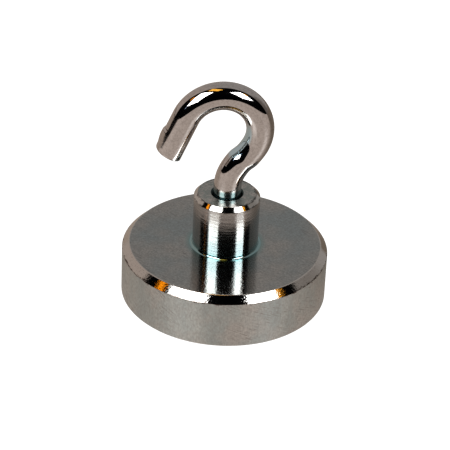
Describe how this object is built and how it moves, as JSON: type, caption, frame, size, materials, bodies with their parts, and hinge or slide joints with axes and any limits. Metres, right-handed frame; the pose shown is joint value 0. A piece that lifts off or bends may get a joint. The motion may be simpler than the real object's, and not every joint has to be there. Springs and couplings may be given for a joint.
{
  "type": "magnet fishing magnet",
  "caption": "Round pot magnet with a chamfered steel cup, a tall tapped boss on its back and an open bent-rod hook screwed into the boss.",
  "frame": {"origin": "centre of the working face at the mouth of the pot", "axes": "+Z along the boss's axis, from the working face towards the hook; the hook lies in the XZ plane with its point towards -X"},
  "size_m": [0.06, 0.06, 0.0688],
  "materials": {
    "pot_steel": "zinc-plated, turned, satin",
    "boss_steel": "zinc-plated, turned, bright",
    "magnet_nickel": "nickel-plated, satin",
    "resin": "cast, matt",
    "glue": "cured film",
    "hook_steel": "zinc-plated, polished"
  },
  "bodies": {
    "magnet_body": {"pot": "pot_steel", "boss": "boss_steel", "magnet": "magnet_nickel", "gap_ring": "resin", "adhesive": "glue"},
    "hook_body": {"hook": "hook_steel"}
  },
  "joints": [
    {"name": "hook_turn", "type": "hinge", "parent": "magnet_body", "child": "hook_body", "pos_m": [0, 0, 0.0331], "axis": [0, 0, 1], "range_deg": [-180, 180]}
  ]
}
